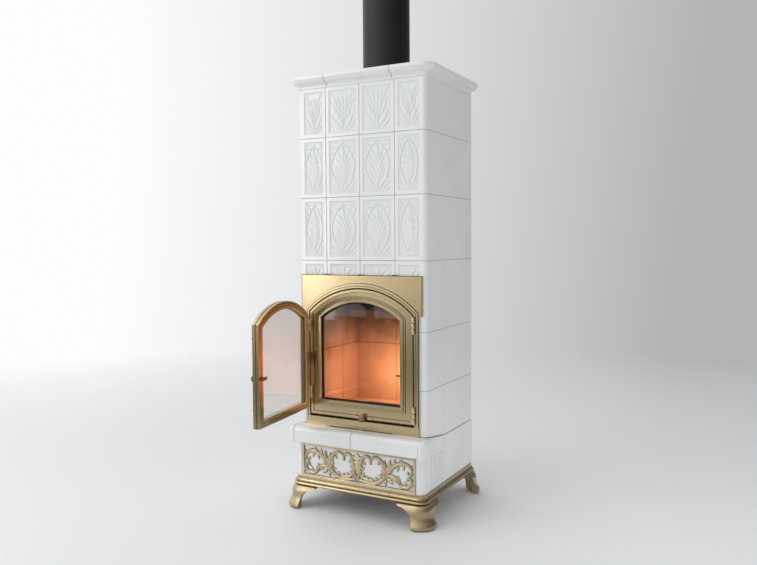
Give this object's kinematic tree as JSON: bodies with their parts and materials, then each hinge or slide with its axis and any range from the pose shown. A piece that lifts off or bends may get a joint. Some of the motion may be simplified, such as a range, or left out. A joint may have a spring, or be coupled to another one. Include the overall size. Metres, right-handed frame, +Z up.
{
  "type": "tiled stove",
  "caption": "Tall tiled wood stove: white relief tiles on a footed base with a scroll grille, an arched glazed fire door and a smaller glass leaf standing open, and a round flue on top.",
  "frame": {"origin": "on the floor, below the middle of the box round the whole stove with its glass leaf open as pictured", "axes": "+Z up; the door faces -Y; +X to the right of someone who faces the door; the stove body is symmetrical about X = 0"},
  "size_m": [0.6838, 0.9603, 2.2],
  "materials": {
    "glazed_tile": "glossy white glaze",
    "brass": "satin, lightly brushed",
    "core_masonry": "rough fired heat-storing blocks",
    "mineral_board": "matt board",
    "firebrick": "matt terracotta",
    "cast_iron": "dark sand-cast",
    "stove_steel": "satin black heat-proof paint",
    "pan_steel": "dull zinc-coated sheet",
    "glass": "clear heat-proof glass ceramic",
    "rope_seal": "woven glass rope",
    "pad_rubber": "matt black",
    "pin_steel": "polished"
  },
  "bodies": {
    "stove": {"base_plate": "cast_iron", "foot_front_left": "brass", "foot_front_right": "brass", "foot_back_left": "brass", "foot_back_right": "brass", "foot_pads": "pad_rubber", "plinth_moulding_front": "brass", "plinth_moulding_back": "brass", "plinth_moulding_right": "brass", "plinth_moulding_left": "brass", "base_tiles_right": "glazed_tile", "base_tiles_left": "glazed_tile", "scroll_grille": "brass", "grille_backing": "glazed_tile", "shelf_front_left": "glazed_tile", "shelf_front_right": "glazed_tile", "shelf_corner_right": "glazed_tile", "shelf_corner_left": "glazed_tile", "corner_tiles_right": "glazed_tile", "corner_tiles_left": "glazed_tile", "relief_tiles_course_1": "glazed_tile", "relief_tiles_course_2": "glazed_tile", "relief_tiles_course_3": "glazed_tile", "relief_tiles_course_4": "glazed_tile", "side_tiles_right": "glazed_tile", "side_tiles_left": "glazed_tile", "cornice_front": "glazed_tile", "cornice_back": "glazed_tile", "cornice_right": "glazed_tile", "cornice_left": "glazed_tile", "top_slab": "core_masonry", "core_left": "core_masonry", "core_right": "core_masonry", "core_front": "core_masonry", "core_back": "core_masonry", "hearth_support": "core_masonry", "back_panel": "mineral_board", "flue_pipe": "stove_steel", "firebox_casing": "stove_steel", "brick_left": "firebrick", "brick_right": "firebrick", "brick_back": "firebrick", "brick_floor": "firebrick", "baffle": "cast_iron", "fire_grate": "cast_iron", "ash_pan": "pan_steel", "door_surround": "brass", "door_hinge_pins": "pin_steel"},
    "door": {"door_frame": "brass", "door_glass": "glass", "door_gasket": "rope_seal", "door_glass_clips": "pan_steel", "leaf_hinge_pins": "pin_steel"},
    "leaf": {"leaf_frame": "brass", "leaf_glass": "glass", "leaf_glass_bead": "brass"},
    "lever": {"door_lever": "brass"},
    "leaf_latch": {"leaf_latch": "brass"},
    "air_slide": {"air_slide": "brass"}
  },
  "joints": [
    {"name": "door_hinge", "type": "hinge", "parent": "stove", "child": "door", "pos_m": [0.246, -0.05681, 0.6125], "axis": [0, 0, 1], "range_deg": [0, 100]},
    {"name": "leaf_hinge", "type": "hinge", "parent": "door", "child": "leaf", "pos_m": [-0.232, -0.05581, 0.6305], "axis": [0, 0, 1], "range_deg": [-17, 83]},
    {"name": "lever_turn", "type": "hinge", "parent": "door", "child": "lever", "pos_m": [-0.226, -0.06081, 0.653], "axis": [0, 1, 0], "range_deg": [0, 90]},
    {"name": "latch_turn", "type": "hinge", "parent": "leaf", "child": "leaf_latch", "pos_m": [-0.19704, -0.46359, 0.614], "axis": [-0.9925, -0.1219, 0], "range_deg": [0, 90]},
    {"name": "air_slide_travel", "type": "slide", "parent": "door", "child": "air_slide", "axis": [1, 0, 0], "range_m": [-0.028, 0.002]}
  ]
}
